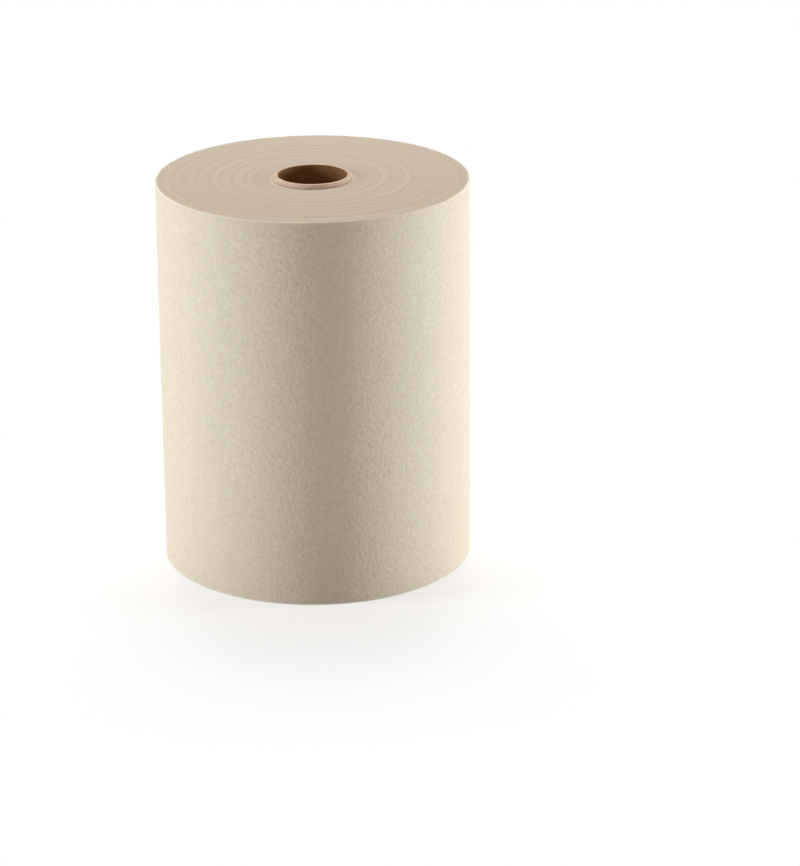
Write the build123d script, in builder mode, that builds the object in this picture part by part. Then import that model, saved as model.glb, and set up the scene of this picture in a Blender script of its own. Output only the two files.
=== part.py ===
"""A hardwound roll of unbleached paper towel, standing on end.

Two pieces: the paperboard core, and the towel web with all its turns wound into one solid.
Millimetres, +Z up along the core. The origin is on the core's axis, in the plane that the roll
stands on, and -Y is the front.
"""

import os
from math import cos, radians, sin

from build123d import *

# The roll
web_width = 254.0           # width of the towel, so the height of the wound roll
outer_diameter = 201.3      # over the last turn
sheet_thickness = 0.12      # one thickness of towel, so the step where the last turn ends
tail_angle = 78.0           # where it ends, in degrees from +X, at the back

# The core
core_bore_diameter = 44.5
core_wall = 2.3
core_proud = 2.4            # how far the core stands out of the roll's upper end
core_edge_break = 0.3       # rubbed corners at the two ends of the bore

# The winding, from the core outwards
inner_band_count = 22       # groups of turns between the core and the standing band
edge_wander = 0.35          # how far the web wanders to and fro along the core
wander_step = 137.5         # degrees of the wander's cycle from one band to the next
standing_band_width = 6.0   # level turns that the roll stands on
slack_gap_width = 0.5       # between them and the looser last turns
slack_gap_depth = 1.2
outer_band_width = 6.0      # the last turns, slid up the roll together
outer_band_proud = 0.3
rim_bevel = 0.8             # outer rim, dulled by handling

# Sizes that follow
outer_radius = outer_diameter / 2
bore_radius = core_bore_diameter / 2
core_radius = bore_radius + core_wall
outer_band_start = outer_radius - outer_band_width
slack_gap_start = outer_band_start - slack_gap_width
standing_band_start = slack_gap_start - standing_band_width
inner_band_width = (standing_band_start - core_radius) / inner_band_count
trim_allowance = 4 * rim_bevel      # stock outside the rim, for the outline to trim


def wander_height(bands_inward):
    """Height of the web's edge, counted in bands inwards from the standing band.

    The wander is a cosine that starts at its lowest point, at the standing band, and advances by
    a fixed step from each band to the next.
    """
    return edge_wander * (1 - cos(radians(wander_step * bands_inward))) / 2


# The web's edges at the lower end, as (radius, height) from the core to the standing band. The
# web keeps its width, so the upper end repeats them.
edge_line = []
for bands_inward in range(inner_band_count, -1, -1):
    radius = standing_band_start - bands_inward * inner_band_width
    edge_line.append((radius, wander_height(bands_inward)))
edge_line.append((slack_gap_start, 0))

lower_end = edge_line + [
    (slack_gap_start, slack_gap_depth),
    (outer_band_start, slack_gap_depth),
    (outer_band_start, outer_band_proud),
    (outer_radius - rim_bevel, outer_band_proud),
    (outer_radius + trim_allowance, outer_band_proud + rim_bevel + trim_allowance),
]
upper_end = [(radius, web_width + height) for radius, height in edge_line] + [
    (slack_gap_start, web_width - slack_gap_depth),
    (outer_band_start, web_width - slack_gap_depth),
    (outer_band_start, web_width + outer_band_proud),
    (outer_radius - rim_bevel, web_width + outer_band_proud),
    (outer_radius + trim_allowance, web_width + outer_band_proud - rim_bevel - trim_allowance),
]

# The wound web. Its half section is turned about the core, which gives both ends their turns.
# The outline of the last turn then trims it: two half circles, tangent to each other, that fall
# by one sheet in a turn and leave the tail's step.
with BuildPart() as towel_web:
    with BuildSketch(Plane.XZ):
        with BuildLine():
            Polyline(lower_end + upper_end[::-1], close=True)
        make_face()
    revolve(axis=Axis.Z)
    with BuildSketch(Plane.XY):
        with BuildLine():
            tail_x = cos(radians(tail_angle))
            tail_y = sin(radians(tail_angle))
            second_centre = -sheet_thickness / 2
            tail_foot = outer_radius - sheet_thickness
            CenterArc((0, 0), outer_radius, tail_angle, 180)
            CenterArc((second_centre * tail_x, second_centre * tail_y),
                      outer_radius + second_centre, tail_angle + 180, 180)
            Line((tail_foot * tail_x, tail_foot * tail_y),
                 (outer_radius * tail_x, outer_radius * tail_y))
        make_face()
    extrude(amount=web_width + edge_wander + outer_band_proud, mode=Mode.INTERSECT)

# The core, cut as long as the web is wide and slid up until it stands proud of the upper end.
with BuildPart() as core_tube:
    with BuildSketch(Plane.XY.offset(core_proud)):
        Circle(core_radius)
        Circle(bore_radius, mode=Mode.SUBTRACT)
    extrude(amount=web_width)
    bore_edges = core_tube.edges().filter_by(GeomType.CIRCLE).sort_by(SortBy.RADIUS)[:2]
    chamfer(bore_edges, core_edge_break)

towel_web.part.label = "towel_web"
core_tube.part.label = "core_tube"

os.makedirs("parts", exist_ok=True)
export_step(towel_web.part, "parts/towel_web.step")
export_step(core_tube.part, "parts/core_tube.step")

for piece in (towel_web.part, core_tube.part):
    size = piece.bounding_box().size
    print(f"{piece.label}: {len(piece.solids())} solid, {piece.volume / 1000:.1f} cm3,"
          f" {size.X:.2f} x {size.Y:.2f} x {size.Z:.2f} mm")
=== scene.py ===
# %% [markdown]
# # A hardwound roll of unbleached paper towel
#
# The real thing is a sheet of towel a quarter of a kilometre long, wound on a paperboard tube and
# stood on end. Its solids come from the CAD model, which stays fixed. This lesson dresses them:
# it rebuilds the wound paper and the core as finer surfaces in the same places, gives both a
# paper finish, and lights them softly on a white floor.

# %% Load the frame
import math

import bmesh
import bpy
import numpy as np
from mathutils import Matrix, Vector


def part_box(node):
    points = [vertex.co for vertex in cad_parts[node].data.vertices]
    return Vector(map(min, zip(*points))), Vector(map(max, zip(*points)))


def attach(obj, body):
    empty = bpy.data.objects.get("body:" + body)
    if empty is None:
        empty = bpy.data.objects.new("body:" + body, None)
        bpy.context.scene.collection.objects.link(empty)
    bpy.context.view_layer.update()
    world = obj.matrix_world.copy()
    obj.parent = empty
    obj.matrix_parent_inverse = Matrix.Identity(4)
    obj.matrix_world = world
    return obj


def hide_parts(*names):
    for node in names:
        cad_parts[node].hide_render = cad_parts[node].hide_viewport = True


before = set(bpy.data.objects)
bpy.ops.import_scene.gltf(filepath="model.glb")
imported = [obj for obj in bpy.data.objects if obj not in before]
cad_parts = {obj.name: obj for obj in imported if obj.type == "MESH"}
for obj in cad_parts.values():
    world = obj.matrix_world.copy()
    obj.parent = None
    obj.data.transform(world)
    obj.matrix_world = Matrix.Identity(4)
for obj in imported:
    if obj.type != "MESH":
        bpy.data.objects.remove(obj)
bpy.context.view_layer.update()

# %% [markdown]
# ## The camera
#
# The photograph was taken with a long lens from a little above, so the sides of the roll converge
# only slightly. A camera could be moved by hand until the picture looks right. Here its place and
# turn were worked out from the outlines of the roll's two ends instead, and are written as
# numbers. Blender's camera looks along its own -Z, with +Y up, so the three columns of its matrix
# are the right, up and backward directions.

# %% Camera
CAMERA_PLACE = Vector((0.0, -2.2203, 0.8987))
CAMERA_YAW = math.radians(1.411)      # towards +X
CAMERA_PITCH = math.radians(20.254)   # downwards
CAMERA_ROLL = math.radians(-0.401)
CAMERA_LENS = 149.96                  # mm, on a sensor whose long side is 36 mm
CAMERA_REACH = 60                     # metres, well past the far edge of the floor


def camera_matrix(place, yaw, pitch, roll):
    """Look along the yaw and pitch, then turn the picture by the roll about that line."""
    forward = Vector((math.sin(yaw) * math.cos(pitch), math.cos(yaw) * math.cos(pitch),
                      -math.sin(pitch)))
    level_right = forward.cross(Vector((0, 0, 1))).normalized()
    level_up = level_right.cross(forward)
    right = level_right * math.cos(roll) + level_up * math.sin(roll)
    up = level_up * math.cos(roll) - level_right * math.sin(roll)
    return Matrix.Translation(place) @ Matrix((right, up, -forward)).transposed().to_4x4()


camera_data = bpy.data.cameras.new("camera")
camera_data.lens = CAMERA_LENS
camera_data.clip_end = CAMERA_REACH
camera = bpy.data.objects.new("camera", camera_data)
camera.matrix_world = camera_matrix(CAMERA_PLACE, CAMERA_YAW, CAMERA_PITCH, CAMERA_ROLL)
bpy.context.scene.collection.objects.link(camera)
bpy.context.scene.camera = camera
print("camera at", tuple(round(v, 3) for v in camera.location))

# %% [markdown]
# ## Sizes taken from the model
#
# Each new piece stands exactly where its solid stands. Its main sizes could be typed in again,
# but they are read from the frame, so that the two can't disagree. The finer ones, which a box
# can't tell, are written here in metres.

# %% Sizes
web_low, web_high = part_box("towel_web")
core_low, core_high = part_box("core_tube")

ROLL_RADIUS = web_high.y                        # over the last turn
CORE_RADIUS = core_high.x
CORE_WALL = 0.0023
BORE_RADIUS = CORE_RADIUS - CORE_WALL

SHEET = 0.00012                                 # one thickness of towel
TAIL_ANGLE = math.radians(78)                   # where the last turn ends, at the back
OUTER_BAND = 0.006                              # the loose last turns
OUTER_BAND_PROUD = 0.0003
STANDING_BAND = 0.006                           # the level turns that the roll stands on
SLACK_GAP = 0.0005                              # between the two
SLACK_GAP_DEPTH = 0.0012
RIM_ROUND = 0.0008
EDGE_WANDER = 0.00035                           # from the lowest group of turns to the highest
WEB_WIDTH = web_high.z - web_low.z - EDGE_WANDER

print("roll radius", round(ROLL_RADIUS, 5), "core radius", round(CORE_RADIUS, 5),
      "web width", round(WEB_WIDTH, 4))

# %% [markdown]
# ## The wound paper
#
# Seen from outside, the roll is its last turn, and seen from either end it is the cut edges of
# some six hundred turns. The winder lets the sheet wander a little, so groups of turns stand
# above others in rings, and the loose last turns have slid up together with a fine gap behind
# them.
#
# A cylinder with a bump texture could show the rings, but not the gap, the dulled rim or the
# tail. So the piece is a closed section carried round the axis. The section is a list of rows,
# each with a radius and a height, and this step makes the rows of the two ends.

# %% Rows of the ends
BAND_COUNT = 22                       # groups of turns between the core and the standing band
WANDER_STEP = math.radians(137.5)     # from one group to the next, so that no pattern repeats
END_SPACING = 0.0007                  # between rows on the upper end
HIDDEN_SPACING = 0.0014               # and on the lower one, which only the floor sees
STANDING_ROWS = 7
LOOSE_ROWS = 16

gap_outer = ROLL_RADIUS - OUTER_BAND
gap_inner = gap_outer - SLACK_GAP
standing_start = gap_inner - STANDING_BAND
rim_start = ROLL_RADIUS - RIM_ROUND


def band_wander(radius):
    """Height of the turns' edges: a cosine sampled at even steps of radius, in straight lines."""
    bands_inward = np.arange(BAND_COUNT, -1, -1)
    band_radii = np.linspace(CORE_RADIUS, standing_start, BAND_COUNT + 1)
    band_heights = EDGE_WANDER * (1 - np.cos(WANDER_STEP * bands_inward)) / 2
    return np.interp(radius, band_radii, band_heights)


def end_rows(spacing):
    """Radius and level of the rows of one end, from the core to the start of the rim's round.

    The level is the height over the standing band. The two rows of the gap's floor come
    between the standing band and the loose last turns.
    """
    inner_count = int(round((standing_start - CORE_RADIUS) / spacing)) + 1
    inner = np.linspace(CORE_RADIUS, standing_start, inner_count)
    standing = np.linspace(standing_start, gap_inner, STANDING_ROWS + 1)[1:]
    gap_floor = np.array([gap_inner, gap_outer])
    loose = np.linspace(gap_outer, rim_start - SHEET, LOOSE_ROWS)
    radius = np.concatenate([inner, standing, gap_floor, loose])
    level = np.concatenate([band_wander(inner), np.zeros(standing.size),
                            np.full(gap_floor.size, -SLACK_GAP_DEPTH),
                            np.full(loose.size, OUTER_BAND_PROUD)])
    return radius, level


upper_radius, upper_level = end_rows(END_SPACING)
lower_radius, lower_level = end_rows(HIDDEN_SPACING)
# the turns' edges have moved up alike on both ends, but the lower gap goes up into the roll
lower_level = np.where(lower_level < 0, SLACK_GAP_DEPTH, lower_level)
print("rows of the upper end", upper_radius.size, "and of the lower one", lower_radius.size)

# %% [markdown]
# ### The whole section
#
# The last turn's face runs between two rims that handling has dulled. A Bevel modifier could
# round them, but it would round the gap's edges too, so each round is written as a quarter
# circle. The rows run from the core outwards along the lower end, round the lower rim, up the
# side, round the upper rim and back to the core.

# %% Rows of the whole section
SIDE_ROWS = 60
RIM_ROWS = 5

round_turn = np.linspace(0, np.pi / 2, RIM_ROWS)
round_radius = rim_start + RIM_ROUND * np.sin(round_turn)
round_drop = RIM_ROUND * (1 - np.cos(round_turn))
rim_low = OUTER_BAND_PROUD
rim_high = WEB_WIDTH + OUTER_BAND_PROUD
side_height = np.linspace(rim_low + RIM_ROUND, rim_high - RIM_ROUND, SIDE_ROWS)[1:-1]

row_radius = np.concatenate([lower_radius, round_radius, np.full(side_height.size, ROLL_RADIUS),
                             round_radius[::-1], upper_radius[::-1]])
row_height = np.concatenate([lower_level, rim_low + round_drop, side_height,
                             rim_high - round_drop[::-1], WEB_WIDTH + upper_level[::-1]])
on_last_turn = np.zeros(row_radius.size, bool)
on_last_turn[lower_radius.size:-upper_radius.size] = True
print("rows", row_radius.size, "of which on the last turn", int(on_last_turn.sum()))

# %% [markdown]
# ### Circles of points
#
# Every row now becomes a circle of points. Blender's Spin or a Screw modifier would do that too,
# but with the same section all round. As arrays of rows by columns, radius and height can still
# change with the angle. The circles start and end at the tail, where the spiral of the last turn
# has its step. The arrays with one column hold what is the same all round a row.

# %% Circles of points
COLUMNS = 384

angle = TAIL_ANGLE + np.linspace(0, 2 * np.pi, COLUMNS + 1)[None, :]
radius = np.repeat(row_radius[:, None], COLUMNS + 1, axis=1)
height = np.repeat(row_height[:, None], COLUMNS + 1, axis=1)

start_radius = row_radius[:, None]
last_turn = on_last_turn[:, None]
upper_half = row_height[:, None] > WEB_WIDTH / 2
upper_end = upper_half & ~last_turn
print("grid of", radius.shape[0], "rows by", radius.shape[1], "columns")

# %% [markdown]
# ### The last turn and its tail
#
# The last turn falls by one sheet in a turn and ends in a straight cut edge, the tail, which is
# tacked down at its ends and at two places between, and stands off a hair elsewhere. The face is
# never quite even either. It could be sculpted, or displaced by a texture. Sums of cosines are
# used because they meet up again after a whole turn and never go past a known depth.

# %% Last turn
SIDE_UNEVENNESS = 0.00005
UNEVENNESS_FADE = 0.004               # how far from a rim the unevenness has grown to its full
TAIL_LIFT = 0.0008                    # how far the tail stands off between its tacks
TAIL_LIFT_ANGLE = math.radians(7)
TAIL_STRETCHES = 3                    # of the tail, each tacked down at both its ends
TACK_SHARE = 0.25                     # of the lift that is left at a tack

rng = np.random.default_rng(26)


def gentle_waves(angle, height, amplitude, around, along, count):
    """Soft random unevenness of a rolled surface, between -amplitude and 0.

    It is a sum of cosines, each with a random whole number of waves round the axis, at most
    `around`, a random number along it, at most `along` per metre, and a random phase.
    """
    total = np.zeros(np.broadcast(angle, height).shape)
    for _ in range(count):
        turns = rng.integers(1, around + 1)
        rise = rng.uniform(-along, along)
        total += np.cos(turns * angle + 2 * np.pi * rise * height + rng.uniform(0, 2 * np.pi))
    return amplitude * (np.clip(total / np.sqrt(2 * count), -1, 1) - 1) / 2


def tail_lift(angle, height):
    """The tail's stand-off: the square of a slope along the turn, and a squared sine upwards."""
    fade = np.clip(1 - (angle - TAIL_ANGLE) / TAIL_LIFT_ANGLE, 0, 1)
    off_tack = np.sin(np.pi * TAIL_STRETCHES * height / WEB_WIDTH) ** 2
    return TAIL_LIFT * fade ** 2 * (TACK_SHARE + (1 - TACK_SHARE) * off_tack)


unevenness = gentle_waves(angle, height, SIDE_UNEVENNESS, around=30, along=8, count=24)
unevenness *= np.clip(np.minimum(height - rim_low, rim_high - height) / UNEVENNESS_FADE, 0, 1)
turn_share = (angle - TAIL_ANGLE) / (2 * np.pi)
radius += np.where(last_turn, unevenness - SHEET * turn_share + tail_lift(angle, height), 0)
print("side between", round(float(radius[on_last_turn].min()), 5), "and",
      round(float(radius.max()), 5), "from the axis")

# %% [markdown]
# ### The cut edges of the turns
#
# Each turn's edge lies a little above or below its neighbours and changes slowly round the ring.
# There are too many turns to model one by one, and a texture would leave the rings flat when seen
# from low down. So each circle of points on the upper end stands for about six turns, with a
# random depth and a slow wave of its own. The rim of the loose last turns ripples as well. Both
# only cut into the solid's shape, so the piece stays inside its box.

# %% Cut edges of the turns
TOUCH = 1e-6                          # points nearer than this are in the same place
TURN_RELIEF = 0.00005
RING_SHARE = 0.6                      # of the relief that is even all round a ring
MOST_RING_WAVES = 5
RIM_RIPPLE = 0.00012


def turn_relief(rows, angle):
    """Cut edges of the turns: each ring has its own random depth and its own slow cosine."""
    depth = rng.uniform(0, 1, (rows, 1))
    wave_count = rng.integers(1, MOST_RING_WAVES + 1, (rows, 1))
    phase = rng.uniform(0, 2 * np.pi, (rows, 1))
    wave = 0.5 + 0.5 * np.cos(wave_count * angle + phase)
    return -TURN_RELIEF * (RING_SHARE * depth + (1 - RING_SHARE) * wave)


before_gap = start_radius < gap_outer - TOUCH
height += np.where(upper_end & before_gap, turn_relief(row_radius.size, angle), 0)
ripple = gentle_waves(angle, 0, RIM_RIPPLE, around=60, along=0, count=30)
rim_share = np.clip((start_radius - gap_outer) / OUTER_BAND, 0, 1)
height += np.where(upper_half, ripple * rim_share, 0)
print("rim ripples by", round(float(np.ptp(ripple)) * 1000, 3), "mm")

# %% [markdown]
# ### Rings that stand proud and turns that have sunk
#
# On the upper end two thin rings of turns stand proud, and the turns next to the core have sunk
# with handling. Proportional editing could lift a ring in the same way, one drag at a time. Here
# a bell curve of the radius lifts each ring, and an exponential lowers the turns by the core.

# %% Proud rings and sunken turns
PROUD_RINGS = (0.046, 0.0615)         # their radii
PROUD_HEIGHT = 0.00013
PROUD_HALF_WIDTH = 0.0007
CORE_SINK = 0.0008                    # how far the turns next to the core have sunk
CORE_SINK_REACH = 0.007


def bell(distance, half_width):
    """1 in the middle, falling away on both sides: e to minus the square of their quotient."""
    return np.exp(-(distance / half_width) ** 2)


for ring_radius in PROUD_RINGS:
    ring = bell(start_radius - ring_radius, PROUD_HALF_WIDTH)
    height += np.where(upper_end, PROUD_HEIGHT * ring, 0)
sunk = np.exp(-(start_radius - CORE_RADIUS) / CORE_SINK_REACH)
height -= np.where(upper_end, CORE_SINK * sunk, 0)
print("end between", round(float(height[-1].min()), 5), "by the core and",
      round(float(height.max()), 5), "at its highest")

# %% [markdown]
# ### The slack gap
#
# Between the level turns and the loose ones there is some slack. Nearly all round the gap has
# closed, because the turns have spread, and they rise to meet the loose ones. It shows as a fine
# dark line on the right only. A groove cut with a boolean would be equally wide all round, so
# the rows of the standing band are moved out and up by shares that depend on the angle.

# %% Slack gap
GAP_SPREAD = math.radians(35)         # to each side of +X, where the gap is open
GAP_LEAST_OPEN = 0.02
GAP_MOST_OPEN = 0.30
RISE_LOST = 0.6                       # of the rise towards the loose turns, where it is open

from_right = (angle + np.pi) % (2 * np.pi) - np.pi
at_right = bell(from_right, GAP_SPREAD)
gap_open = GAP_LEAST_OPEN + (GAP_MOST_OPEN - GAP_LEAST_OPEN) * at_right
spread_share = np.clip((start_radius - standing_start) / STANDING_BAND, 0, 1)
spread_share = np.where(before_gap, spread_share, 0)
radius += np.where(last_turn, 0, spread_share * SLACK_GAP * (1 - gap_open))
above_gap_floor = row_height[:, None] > WEB_WIDTH - SLACK_GAP_DEPTH / 2
rise = spread_share * OUTER_BAND_PROUD * (1 - RISE_LOST * at_right)
height += np.where(above_gap_floor, rise, 0)

points = np.stack([radius * np.cos(angle), radius * np.sin(angle), height], axis=-1)
print("gap is at most", round(SLACK_GAP * GAP_MOST_OPEN * 1000, 2), "mm wide; grid", points.shape)

# %% [markdown]
# ### From points to a mesh
#
# Neighbouring points of the grid make the quads, and a strip closes the step at the tail. A
# primitive with modifiers would be less to write, but a mesh made from arrays keeps every row
# where it is wanted. It is a helper of its own because the core is a grid of the same kind.

# %% Mesh of the wound paper
def ring_mesh(name, points, seam_rows=None):
    """Mesh of a closed section carried round the axis.

    points[row, column] holds the places. Rows run along the section and the last joins the
    first. The last column lies where the first does, apart from rows with a step in them:
    seam_rows marks those, and a strip closes each step. Coinciding points are then merged.
    """
    rows, columns = points.shape[:2]
    index = np.arange(rows * columns).reshape(rows, columns)
    above = np.roll(index, -1, axis=0)
    quads = [np.stack([index[:, :-1], index[:, 1:], above[:, 1:], above[:, :-1]],
                      axis=-1).reshape(-1, 4)]
    if seam_rows is not None:
        steps = np.flatnonzero(seam_rows & np.roll(seam_rows, -1))
        quads.append(np.stack([index[steps, -1], index[steps, 0], above[steps, 0],
                               above[steps, -1]], axis=-1))
    mesh = bpy.data.meshes.new(name)
    mesh.from_pydata(points.reshape(-1, 3), [], np.concatenate(quads))
    work = bmesh.new()
    work.from_mesh(mesh)
    bmesh.ops.remove_doubles(work, verts=work.verts, dist=TOUCH)
    work.to_mesh(mesh)
    work.free()
    return mesh


towel_mesh = ring_mesh("wound_towel", points, on_last_turn)
print(towel_mesh.name, "has", len(towel_mesh.polygons), "faces")

# %% [markdown]
# ## Helpers for finishes
#
# Both papers are trees of shader nodes. They could be wired by hand in the Shader Editor. A few
# small functions build the same tree on every run, and let each line say what it does. These
# first ones make a material, a node and a colour.

# %% Materials, nodes and colours
def new_material(name):
    """A material with only an output, and its node tree."""
    material = bpy.data.materials.new(name)
    material.use_nodes = True
    tree = material.node_tree
    tree.nodes.clear()
    tree.nodes.new("ShaderNodeOutputMaterial")
    return material, tree


def add_node(tree, kind, inputs=(), **settings):
    """A shader node with its settings, and its inputs linked to sockets or set to values."""
    node = tree.nodes.new("ShaderNode" + kind)
    for name, value in settings.items():
        setattr(node, name, value)
    for name, value in dict(inputs).items():
        if isinstance(value, bpy.types.NodeSocket):
            tree.links.new(value, node.inputs[name])
        else:
            node.inputs[name].default_value = value
    return node


def linear(red, green, blue):
    """A colour as seen on a screen, 0 to 255, in the linear values that shaders use."""
    channels = np.array([red, green, blue]) / 255
    curved = ((channels + 0.055) / 1.055) ** 2.4
    return (*np.where(channels <= 0.04045, channels / 12.92, curved).tolist(), 1)


print("middle grey is", round(linear(128, 128, 128)[0], 3), "in a shader")

# %% [markdown]
# ### Noise and mixes
#
# Paper is random at many sizes at once. Painted spots would soon look alike, but fractal noise
# never repeats and goes on into any corner. The helpers below read noise at a place, stretch it
# to the part that is wanted, and mix colours by it.

# %% Noise and mixes
def noise(tree, place, scale, detail=2, roughness=0.5):
    """Fractal noise, 0 to 1, with `scale` features to the metre at a place."""
    return add_node(tree, "TexNoise", {"Vector": place, "Scale": scale, "Detail": detail,
                                       "Roughness": roughness}).outputs["Fac"]


def ramp(tree, value, start, stop, low, high):
    """Carry a value from start..stop to low..high, and hold it there outside."""
    return add_node(tree, "MapRange", {"Value": value, "From Min": start, "From Max": stop,
                                       "To Min": low, "To Max": high}).outputs["Result"]


def contrast(tree, value, half_range, high=1):
    """Stretch the middle of a noise, half_range to each side of 0.5, to 0..high."""
    return ramp(tree, value, 0.5 - half_range, 0.5 + half_range, 0, high)


def maths(tree, operation, first, second=0):
    """One sum, such as ADD or MULTIPLY, of two values or sockets."""
    node = add_node(tree, "Math", {0: first, 1: second}, operation=operation)
    return node.outputs["Value"]


def mix_colours(tree, share, first, second):
    """Mix two colours by a share from 0 to 1."""
    node = add_node(tree, "Mix", {0: share, 6: first, 7: second}, data_type="RGBA")
    return node.outputs[2]


print("helpers for noise and mixes are ready")

# %% [markdown]
# ## The towel's face
#
# Unbleached towel is cream on its faces. It is creped, and painted shade makes its valleys faintly
# darker than its ridges. It has soft clouds where the fibres lie thicker and a few specks of
# darker fibre. At the rims the sheet's edge is fluffed up, and a painted highlight makes it paler
# there, for the light it catches. A photograph of paper could be wrapped round the roll, but it
# would show a seam. Noise on Object coordinates goes on all round.

# %% Towel face
TOWEL_FACE = linear(230, 221, 204)
# painted shade in the crepe's valleys and painted light on its ridges, by the crepe's height
PAINTED_VALLEY_SHADE = linear(223, 214, 197)
PAINTED_RIDGE_LIGHT = linear(235, 227, 211)
FIBRE = linear(176, 156, 128)
# painted highlight on the fluffed rims, paler than the face
PAINTED_RIM_HIGHLIGHT = linear(246, 238, 222)
CLOUD_SCALE = 60                      # features to the metre
CLOUD_SHARE = 0.3
SPECK_SCALE = 620
SPECK_START = 0.66                    # only the peaks of the noise above this are specks
SPECK_FULL = 0.76
SPECK_SHARE = 0.22
RIM_HIGHLIGHT_REACH = 0.0014               # how far down the side the painted highlight of the rim goes
RIM_HIGHLIGHT_SHARE = 0.85


def towel_face(tree, place, crepe):
    """Cream paper: painted shade where the creping is low, with clouds and specks of fibre."""
    face = mix_colours(tree, contrast(tree, crepe, half_range=0.2), PAINTED_VALLEY_SHADE, PAINTED_RIDGE_LIGHT)
    clouds = noise(tree, place, CLOUD_SCALE, detail=3)
    clouds = contrast(tree, clouds, half_range=0.15, high=CLOUD_SHARE)
    face = mix_colours(tree, clouds, face, TOWEL_FACE)
    specks = noise(tree, place, SPECK_SCALE, detail=1)
    specks = ramp(tree, specks, SPECK_START, SPECK_FULL, 0, SPECK_SHARE)
    return mix_colours(tree, specks, face, FIBRE)


def rims_with_painted_highlight(tree, place, face):
    """Painted highlight, paler towards both rims, by the distance from the middle of the height.
    """
    half_width = WEB_WIDTH / 2
    up = add_node(tree, "SeparateXYZ", {"Vector": place}).outputs["Z"]
    above_middle = maths(tree, "SUBTRACT", up, half_width + OUTER_BAND_PROUD)
    from_middle = maths(tree, "ABSOLUTE", above_middle)
    rim_highlight = ramp(tree, from_middle, half_width - RIM_HIGHLIGHT_REACH, half_width - RIM_ROUND,
                0, RIM_HIGHLIGHT_SHARE)
    return mix_colours(tree, rim_highlight, face, PAINTED_RIM_HIGHLIGHT)


print("towel face", [round(v, 3) for v in TOWEL_FACE])

# %% [markdown]
# ## The towel's cut ends
#
# Where the turns are cut the paper is a pinker, darker tan, because light gets lost between their
# edges, and the turns show as rings. Blender's Wave Texture makes rings too, but even ones. Noise
# that is read along the radius alone gives rings of random width, and a little waver in that
# radius keeps them from being perfect circles.

# %% Towel ends
TOWEL_CUT = linear(222, 207, 190)
TURN_DARK = linear(215, 199, 181)
TURN_PALE = linear(229, 215, 199)
FINE_RINGS = 1400                     # features to the metre of radius
BROAD_RINGS = 120
EVENED_SHARE = 0.5                    # how far the broad rings take the fine ones to one colour
RING_WAVER = 0.0006                   # how far a ring strays from a circle
RING_WAVER_SCALE = 30


def radius_from_axis(tree, place):
    """How far a place is from the roll's axis, in metres: the length of its X and Y alone."""
    split = add_node(tree, "SeparateXYZ", {"Vector": place})
    flat = add_node(tree, "CombineXYZ", {"X": split.outputs["X"], "Y": split.outputs["Y"]})
    return add_node(tree, "VectorMath", {0: flat.outputs["Vector"]},
                    operation="LENGTH").outputs["Value"]


def ring_noise(tree, along_radius, scale, detail):
    """Noise that changes along the radius only, so that it draws rings."""
    return add_node(tree, "TexNoise", {"W": along_radius, "Scale": scale, "Detail": detail},
                    noise_dimensions="1D").outputs["Fac"]


def cut_turns(tree, place):
    """Colour of the cut ends, and the fine rings, which are also their relief."""
    waver = maths(tree, "MULTIPLY", noise(tree, place, RING_WAVER_SCALE, detail=2), RING_WAVER)
    along_radius = maths(tree, "ADD", radius_from_axis(tree, place), waver)
    fine = ring_noise(tree, along_radius, FINE_RINGS, detail=3)
    broad = ring_noise(tree, along_radius, BROAD_RINGS, detail=2)
    ends = mix_colours(tree, contrast(tree, fine, half_range=0.2), TURN_DARK, TURN_PALE)
    evened = contrast(tree, broad, half_range=0.15, high=EVENED_SHARE)
    return mix_colours(tree, evened, ends, TOWEL_CUT), fine


print("fine rings are about", round(1000 / FINE_RINGS, 2), "mm wide")

# %% [markdown]
# ## A matt surface with a fine relief
#
# Both papers are matt, and their relief is finer than their meshes. Displacement could show it,
# with many millions of faces. A Bump node only bends the light on the surface, which is enough
# for creases of a tenth of a millimetre or so.

# %% Matt surface
def show_on_surface(tree, shader):
    """Join a shader to the material's output."""
    tree.links.new(shader, tree.nodes["Material Output"].inputs["Surface"])


def matt_shader(tree, colour, relief, depth, strength, roughness, specular):
    """A matt surface of one colour or socket, with a relief as deep as `depth` in metres."""
    bump = add_node(tree, "Bump", {"Height": relief, "Distance": depth, "Strength": strength})
    shader = add_node(tree, "BsdfPrincipled", {
        "Base Color": colour, "Roughness": roughness, "Specular IOR Level": specular,
        "Normal": bump.outputs["Normal"]})
    return shader.outputs["BSDF"]


print("helpers for matt surfaces are ready")

# %% [markdown]
# ## One material for the towel
#
# Face and ends are one sheet, so they share a material. They could be two, given to the faces by
# slot, but then their border would be a hard line. Instead an attribute on the mesh, called
# cut_edge, says how much of each a point has. It also fades the creping out on the ends, where
# the turns take its place.

# %% Towel material
CREPE_SCALE = 385                     # features to the metre
TOWEL_RELIEF = 0.00044
CREPE_ON_ENDS = 0.15                  # of its strength on the face
TURNS_ON_ENDS = 0.4                   # how strong the fine rings are there, on the same scale


def make_towel_paper():
    """Creped cream face with pale rims, and rings of tan on the cut ends."""
    material, tree = new_material("towel_paper")
    place = add_node(tree, "TexCoord").outputs["Object"]
    cut = add_node(tree, "Attribute", attribute_name="cut_edge").outputs["Fac"]
    crepe = noise(tree, place, CREPE_SCALE, detail=3, roughness=0.6)
    face = rims_with_painted_highlight(tree, place, towel_face(tree, place, crepe))
    ends, fine_rings = cut_turns(tree, place)
    colour = mix_colours(tree, cut, face, ends)
    creping = maths(tree, "MULTIPLY", crepe, ramp(tree, cut, 0, 1, 1, CREPE_ON_ENDS))
    turns = maths(tree, "MULTIPLY", fine_rings, ramp(tree, cut, 0, 1, 0, TURNS_ON_ENDS))
    relief = maths(tree, "ADD", creping, turns)
    show_on_surface(tree, matt_shader(tree, colour, relief, TOWEL_RELIEF, strength=1,
                                      roughness=0.95, specular=0.15))
    return material


towel_paper = make_towel_paper()
print("material", towel_paper.name, len(towel_paper.node_tree.nodes), "nodes")

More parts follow.
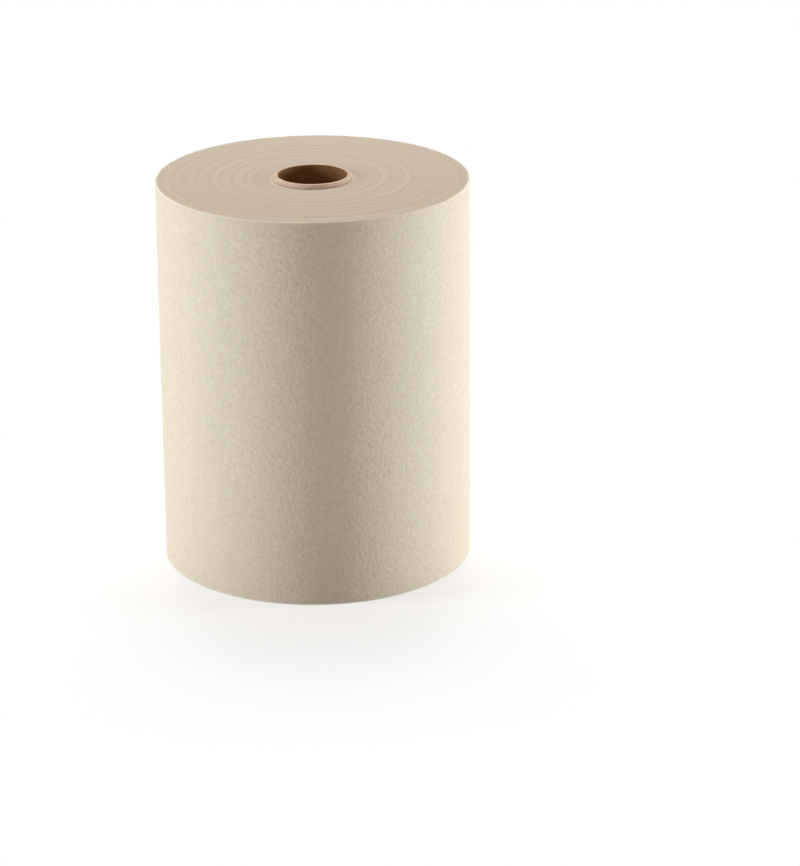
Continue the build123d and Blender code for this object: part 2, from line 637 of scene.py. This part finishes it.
# %% [markdown]
# ## From a mesh to a piece
#
# Seen close, the faces of a mesh are flat. Shade Smooth hides that, but it would also smear the
# light over real corners, such as the sawn rim of the core. So these helpers shade a mesh smooth
# except at corners sharper than an angle. They also find how far its points are from the axis,
# and mark them for the material.

# %% Helpers for pieces
def distances_from_axis(mesh):
    """Distance of each point of a mesh from the axis: the root of x squared plus y squared."""
    places = np.zeros(len(mesh.vertices) * 3)
    mesh.vertices.foreach_get("co", places)
    places = places.reshape(-1, 3)
    return np.hypot(places[:, 0], places[:, 1])


def mark_points(mesh, name, values):
    """Give each point of a mesh a number that its material reads by name."""
    attribute = mesh.attributes.new(name, "FLOAT", "POINT")
    attribute.data.foreach_set("value", values.astype(np.float32))


def add_piece(mesh, material, sharp_degrees):
    """Shade the mesh smooth but for its corners, and put it in the scene as an object."""
    mesh.materials.append(material)
    mesh.polygons.foreach_set("use_smooth", np.ones(len(mesh.polygons), bool))
    mesh.set_sharp_from_angle(angle=math.radians(sharp_degrees))
    piece = bpy.data.objects.new(mesh.name, mesh)
    bpy.context.scene.collection.objects.link(piece)
    sides = np.zeros(len(mesh.polygons), np.int32)
    mesh.polygons.foreach_get("loop_total", sides)
    print(piece.name, len(mesh.vertices), "points,", int((sides - 2).sum()), "triangles")
    return piece


print("helpers for pieces are ready")

# %% [markdown]
# ## The wound towel as a piece
#
# The attribute could be painted by hand in Vertex Paint. Worked out from each point's distance
# to the axis, it follows the rim exactly: the face's cream gives way to the cut's tan over the
# first millimetre of the end. It drops a little on the rings that stand proud and on the last
# level ring, so the face's cream shows there as a painted highlight for the light they catch.

# %% Wound towel
PALE_RIM = 0.0012                     # over which the face's cream gives way to the cut's tan
LAST_LEVEL_RING = gap_inner - 0.0004  # the last of the level turns, before they spread
HIGHLIGHT_RINGS = (*PROUD_RINGS, LAST_LEVEL_RING)
RING_HIGHLIGHT_SHARE = 0.3                 # how much of the face's cream shows on them, as painted highlight
RING_HIGHLIGHT_HALF_WIDTH = 0.0008

from_axis = distances_from_axis(towel_mesh)
cut_edge = np.clip((rim_start - from_axis) / PALE_RIM, 0, 1)
# painted highlight: the face's cream shows on the proud rings and the last level ring
for ring_radius in HIGHLIGHT_RINGS:
    cut_edge -= RING_HIGHLIGHT_SHARE * bell(from_axis - ring_radius, RING_HIGHLIGHT_HALF_WIDTH)
mark_points(towel_mesh, "cut_edge", cut_edge)
wound_towel = add_piece(towel_mesh, towel_paper, sharp_degrees=35)

# %% [markdown]
# ## The core
#
# The core is wound from strips of paperboard and glued. Its ends are sawn, and the plies show on
# the cut as thin sunken rings. The upper end stands out of the roll by a couple of millimetres
# and the lower one is sunk by as much. A tube primitive with a bevel would do for the outline.
# Rows of its own give it the glue lines, and rubbed corners that differ inside and outside.

# %% Rows of the core
PLIES = 3
PLY_LINE = 0.00010                    # how deep the glue lines sink into the sawn end
PLY_LINE_WIDTH = 0.00022
BORE_CORNER = 0.0003
OUTER_CORNER = 0.0001
WALL_ROWS = 90                        # enough to follow the twist inside and outside


def sawn_rows():
    """Radii and depths of a sawn end from the bore outwards, with a dip at each glue line."""
    lines = BORE_RADIUS + CORE_WALL * np.arange(1, PLIES) / PLIES
    across_line = np.array([-0.5, 0, 0.5]) * PLY_LINE_WIDTH
    radii = np.concatenate([[BORE_RADIUS + BORE_CORNER], (lines[:, None] + across_line).ravel(),
                            [CORE_RADIUS - OUTER_CORNER, CORE_RADIUS]])
    depths = np.concatenate([[0], np.tile([0, PLY_LINE, 0], lines.size), [0, OUTER_CORNER]])
    return radii, depths


sawn_radius, sawn_depth = sawn_rows()
bore_height = np.linspace(core_high.z - BORE_CORNER, core_low.z + BORE_CORNER, WALL_ROWS)
wall_height = np.linspace(core_low.z, core_high.z, WALL_ROWS)[1:-1]
core_radius = np.concatenate([sawn_radius, np.full(wall_height.size, CORE_RADIUS),
                              sawn_radius[::-1], np.full(bore_height.size, BORE_RADIUS)])
core_height = np.concatenate([core_low.z + sawn_depth, wall_height,
                              core_high.z - sawn_depth[::-1], bore_height])
in_bore = np.arange(core_radius.size) >= core_radius.size - bore_height.size
print("rows of the core", core_radius.size, "of which in its bore", int(in_bore.sum()))

# %% [markdown]
# ### Columns that follow the strips
#
# The strips are laid in a helix, so an open joint runs up the bore like a thread. A groove could
# be cut along a curve with a boolean, which leaves a ragged mesh. Instead all the columns of the
# grid are twisted with the helix, so that a few close ones can carry the joint along the whole
# bore.

# %% Columns of the core
PLY_WIDTH = 0.090                     # of the strip it is wound from
JOINT_WIDTH = 0.0009
JOINT_FLOOR = 0.5                     # half the width of its floor, in joint widths
JOINT_MOUTH = 0.62                    # and of its mouth
BESIDE_JOINT = (0.3, JOINT_FLOOR, JOINT_MOUTH, 0.8, 1.2, 2.0)    # close columns on each side
PLAIN_COLUMNS = 189

# strips of width w close round a girth g where a turn climbs by g w / root(g squared - w squared)
girth = 2 * math.pi * BORE_RADIUS
helix_pitch = girth * PLY_WIDTH / math.sqrt(girth ** 2 - PLY_WIDTH ** 2)

beside_joint = np.array(BESIDE_JOINT) * JOINT_WIDTH / BORE_RADIUS
near_joint = np.concatenate([-beside_joint[::-1], [0], beside_joint])
plain = np.linspace(near_joint[-1], 2 * np.pi + near_joint[0], PLAIN_COLUMNS + 1)[1:]
around = np.concatenate([near_joint, plain])[None, :]
# a column goes once round the core for each pitch that it climbs
core_angle = around + 2 * np.pi * core_height[:, None] / helix_pitch
print("the helix climbs", round(helix_pitch * 1000, 1), "mm in a turn;", around.size, "columns")

# %% [markdown]
# ### The open joint and the frayed end
#
# The joint is a shallow groove with a flat floor and steep sides, and the saw has left the upper
# end slightly frayed. Loose fibres could be added as hair, but at this size they only make the
# edge uneven, so the same gentle waves as on the roll lower it here and there.

# %% Points of the core
JOINT_DEPTH = 0.00025
FRAYING = 0.00015
FRAYING_REACH = 0.002                 # how far down from the upper end

# the groove has its full depth on its floor and loses it in straight lines up to its mouth
off_joint = np.abs(around) * BORE_RADIUS / JOINT_WIDTH
joint = np.clip((JOINT_MOUTH - off_joint) / (JOINT_MOUTH - JOINT_FLOOR), 0, 1)
joint_radius = core_radius[:, None] + JOINT_DEPTH * np.where(in_bore[:, None], joint, 0)
frayed = gentle_waves(core_angle, 0, FRAYING, around=90, along=0, count=40)
at_top = core_height[:, None] > core_high.z - FRAYING_REACH
frayed_height = core_height[:, None] + np.where(at_top, frayed, 0)
core_points = np.stack([joint_radius * np.cos(core_angle), joint_radius * np.sin(core_angle),
                        frayed_height], axis=-1)
print("grid of the core", core_points.shape, "frayed by up to",
      round(-float(frayed.min()) * 1000, 2), "mm")

# %% [markdown]
# ## The core's finish
#
# The strip inside is brown kraft with soft fibres that run up and down, the sawn cut is paler,
# and the ply outside is pale and pinkish. Three materials could share the mesh, but one that
# mixes by an attribute and by the radius keeps the borders soft. The attribute, outside_bore, is
# 0 in the bore and 1 elsewhere.

# %% Core material
KRAFT = linear(165, 124, 84)
KRAFT_DARK = linear(148, 108, 70)
SAWN = linear(238, 215, 190)
SAWN_DARK = linear(228, 204, 178)
OUTER_PLY = linear(232, 212, 196)
FIBRE_SCALE = 900                     # features to the metre
FIBRE_STRETCH = (1, 1, 0.35)          # longer along the core
SAWN_SCALE = 1500
KRAFT_RELIEF = 0.0001


def make_core_board():
    """Brown kraft with long soft fibres in the bore, paler board on the cut and outside."""
    material, tree = new_material("core_board")
    place = add_node(tree, "TexCoord").outputs["Object"]
    outside = add_node(tree, "Attribute", attribute_name="outside_bore").outputs["Fac"]
    stretched = add_node(tree, "Mapping", {"Vector": place, "Scale": FIBRE_STRETCH})
    fibres = noise(tree, stretched.outputs["Vector"], FIBRE_SCALE, detail=4, roughness=0.7)
    board = mix_colours(tree, contrast(tree, fibres, half_range=0.2), KRAFT_DARK, KRAFT)
    grain = noise(tree, place, SAWN_SCALE, detail=3, roughness=0.7)
    sawn = mix_colours(tree, contrast(tree, grain, half_range=0.2), SAWN_DARK, SAWN)
    # the outer ply's colour comes in by the sawn end's outer corner, over the width of that corner
    on_wall = ramp(tree, radius_from_axis(tree, place), CORE_RADIUS - 1.5 * OUTER_CORNER,
                   CORE_RADIUS - 0.5 * OUTER_CORNER, 0, 1)
    pale = mix_colours(tree, on_wall, sawn, OUTER_PLY)
    colour = mix_colours(tree, outside, board, pale)
    show_on_surface(tree, matt_shader(tree, colour, fibres, KRAFT_RELIEF, strength=0.8,
                                      roughness=0.85, specular=0.25))
    return material


core_board = make_core_board()
print("material", core_board.name, len(core_board.node_tree.nodes), "nodes")

# %% [markdown]
# ## The core as a piece
#
# The core goes the way of the wound paper, with the same helpers: its grid becomes a closed mesh,
# each point is marked as inside or outside the bore, and the mesh becomes an object at the origin.

# %% Paperboard core
BORE_MARGIN = 0.00002                 # past the floor of the joint, which belongs to the bore

core_mesh = ring_mesh("paperboard_core", core_points)
outside_bore = distances_from_axis(core_mesh) > BORE_RADIUS + JOINT_DEPTH + BORE_MARGIN
mark_points(core_mesh, "outside_bore", outside_bore)
paperboard_core = add_piece(core_mesh, core_board, sharp_degrees=40)

# %% [markdown]
# ## The floor's finish
#
# The roll stands on a white floor. Lamps strong enough to make a white floor come out white would
# burn out the roll. So the floor is matt and pale for the light that falls on it, and to the
# camera it glows as well, just enough to come out a plain white where nothing shades it. Near
# the roll less of what the camera sees is glow and more is lit surface, so the roll keeps its
# soft shadow.

# %% Floor finish
FLOOR_GREY = (0.8, 0.8, 0.8, 1)       # for the light that it throws back
FLOOR_LIGHT = 0.76                    # how brightly the lamps light the open floor
SHADOW_SHARE = 0.5                    # of what the camera sees of the floor beside the roll
SHADOW_NEAR = 0.12
SHADOW_FAR = 0.32
WHITE = (1, 1, 1, 1)


def seen_directly(tree):
    """1 for the rays that show a background: from the camera, in gloss and through glass."""
    path = add_node(tree, "LightPath")
    either = maths(tree, "MAXIMUM", path.outputs["Is Camera Ray"], path.outputs["Is Glossy Ray"])
    return maths(tree, "MAXIMUM", either, path.outputs["Is Transmission Ray"])


def make_floor_white():
    """Matt pale floor that the camera sees as white apart from the roll's shadow."""
    material, tree = new_material("floor_white")
    place = add_node(tree, "TexCoord").outputs["Object"]
    from_roll = radius_from_axis(tree, place)
    lit_share = ramp(tree, from_roll, SHADOW_NEAR, SHADOW_FAR, SHADOW_SHARE, 0)
    glow_share = maths(tree, "SUBTRACT", 1.0, maths(tree, "MULTIPLY", lit_share, FLOOR_LIGHT))
    matt = add_node(tree, "BsdfDiffuse", {"Color": FLOOR_GREY})
    lit = add_node(tree, "BsdfDiffuse", {"Color": lit_share})
    glow = add_node(tree, "Emission", {"Color": WHITE, "Strength": glow_share})
    seen = add_node(tree, "AddShader", {0: lit.outputs[0], 1: glow.outputs[0]})
    mix = add_node(tree, "MixShader", {0: seen_directly(tree), 1: matt.outputs[0],
                                       2: seen.outputs[0]})
    show_on_surface(tree, mix.outputs[0])
    return material


floor_white = make_floor_white()
print("material", floor_white.name, len(floor_white.node_tree.nodes), "nodes")

# %% [markdown]
# ## The floor itself
#
# In a studio the backdrop is a sheet that curves up behind the object. The floor could be bent
# like that too, but as its white is the backdrop's, one flat face will do, as long as it is wide
# enough to run out of the picture on every side.

# %% Floor
FLOOR_SIZE = 30.0

half = FLOOR_SIZE / 2
floor_mesh = bpy.data.meshes.new("floor")
floor_mesh.from_pydata([(-half, -half, 0), (half, -half, 0), (half, half, 0), (-half, half, 0)],
                       [], [(0, 1, 2, 3)])
floor_mesh.materials.append(floor_white)
floor = bpy.data.objects.new("floor", floor_mesh)
bpy.context.scene.collection.objects.link(floor)
print("floor", FLOOR_SIZE, "m square")

# %% [markdown]
# ## The backdrop
#
# Behind the floor there is only the world. As a plain white world it would light the roll from
# all sides and wash the shading out. So it is white for the rays that show a background, and for
# all the others it is the weak warm light that a room throws back.

# %% World
WORLD_LIGHT = 0.15
WORLD_COLOUR = (1.0, 0.67, 0.40, 1)

world = bpy.data.worlds.new("studio")
world.use_nodes = True
bpy.context.scene.world = world
tree = world.node_tree
tree.nodes.clear()
fill = add_node(tree, "Background", {"Color": WORLD_COLOUR, "Strength": WORLD_LIGHT})
white = add_node(tree, "Background", {"Color": WHITE, "Strength": 1.0})
backdrop = add_node(tree, "MixShader", {0: seen_directly(tree), 1: fill.outputs[0],
                                        2: white.outputs[0]})
add_node(tree, "OutputWorld", {"Surface": backdrop.outputs[0]})
print("world light", WORLD_LIGHT)

# %% [markdown]
# ## The lamps
#
# The photograph shows soft studio light: a tall lamp on each side, nearly level with the roll, a
# large one above and behind, and a weak one in front. Between the two side lamps the front of
# the roll falls off to a soft darker band. Sun or point lamps would draw hard edges there, so
# all four are rectangular area lamps. Their strengths were worked out from the roll's tones.

# %% Lamps
LAMP_AIM = Vector((0, 0, 0.13))       # half way up the roll
LAMP_DISTANCE = 1.6
LAMP_COLOUR = (0.95, 0.98, 1.0)


def add_lamp(name, azimuth, elevation, width, height, watts):
    """A soft rectangular lamp that looks at the roll.

    Azimuth is in degrees from the front, towards +X, and elevation in degrees above level.
    """
    turn = math.radians(azimuth)
    lift = math.radians(elevation)
    direction = Vector((math.sin(turn) * math.cos(lift), -math.cos(turn) * math.cos(lift),
                        math.sin(lift)))
    data = bpy.data.lights.new(name, "AREA")
    data.shape = "RECTANGLE"
    data.size = width
    data.size_y = height
    data.energy = watts
    data.color = LAMP_COLOUR
    lamp = bpy.data.objects.new(name, data)
    place = LAMP_AIM + direction * LAMP_DISTANCE
    facing = direction.to_track_quat("Z", "Y").to_matrix().to_4x4()
    lamp.matrix_world = Matrix.Translation(place) @ facing
    bpy.context.scene.collection.objects.link(lamp)
    print(name, "at", tuple(round(v, 2) for v in place))


add_lamp("lamp_left", azimuth=-80, elevation=8, width=0.5, height=0.9, watts=19.7)
add_lamp("lamp_right", azimuth=90, elevation=3, width=0.5, height=0.6, watts=23.0)
add_lamp("lamp_above", azimuth=180, elevation=60, width=0.9, height=0.9, watts=16.4)
add_lamp("lamp_front", azimuth=0, elevation=8, width=0.5, height=0.9, watts=1.6)

bpy.context.scene.view_settings.view_transform = "Standard"

# %% [markdown]
# ## The pieces on the body
#
# Each piece rides with the roll's one body and stands for its CAD solid, which is hidden.

# %% Finish
for piece, node, slot_name in ((wound_towel, "towel_web", "towel_paper"),
                               (paperboard_core, "core_tube", "core_board")):
    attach(piece, "root")
    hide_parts(node)
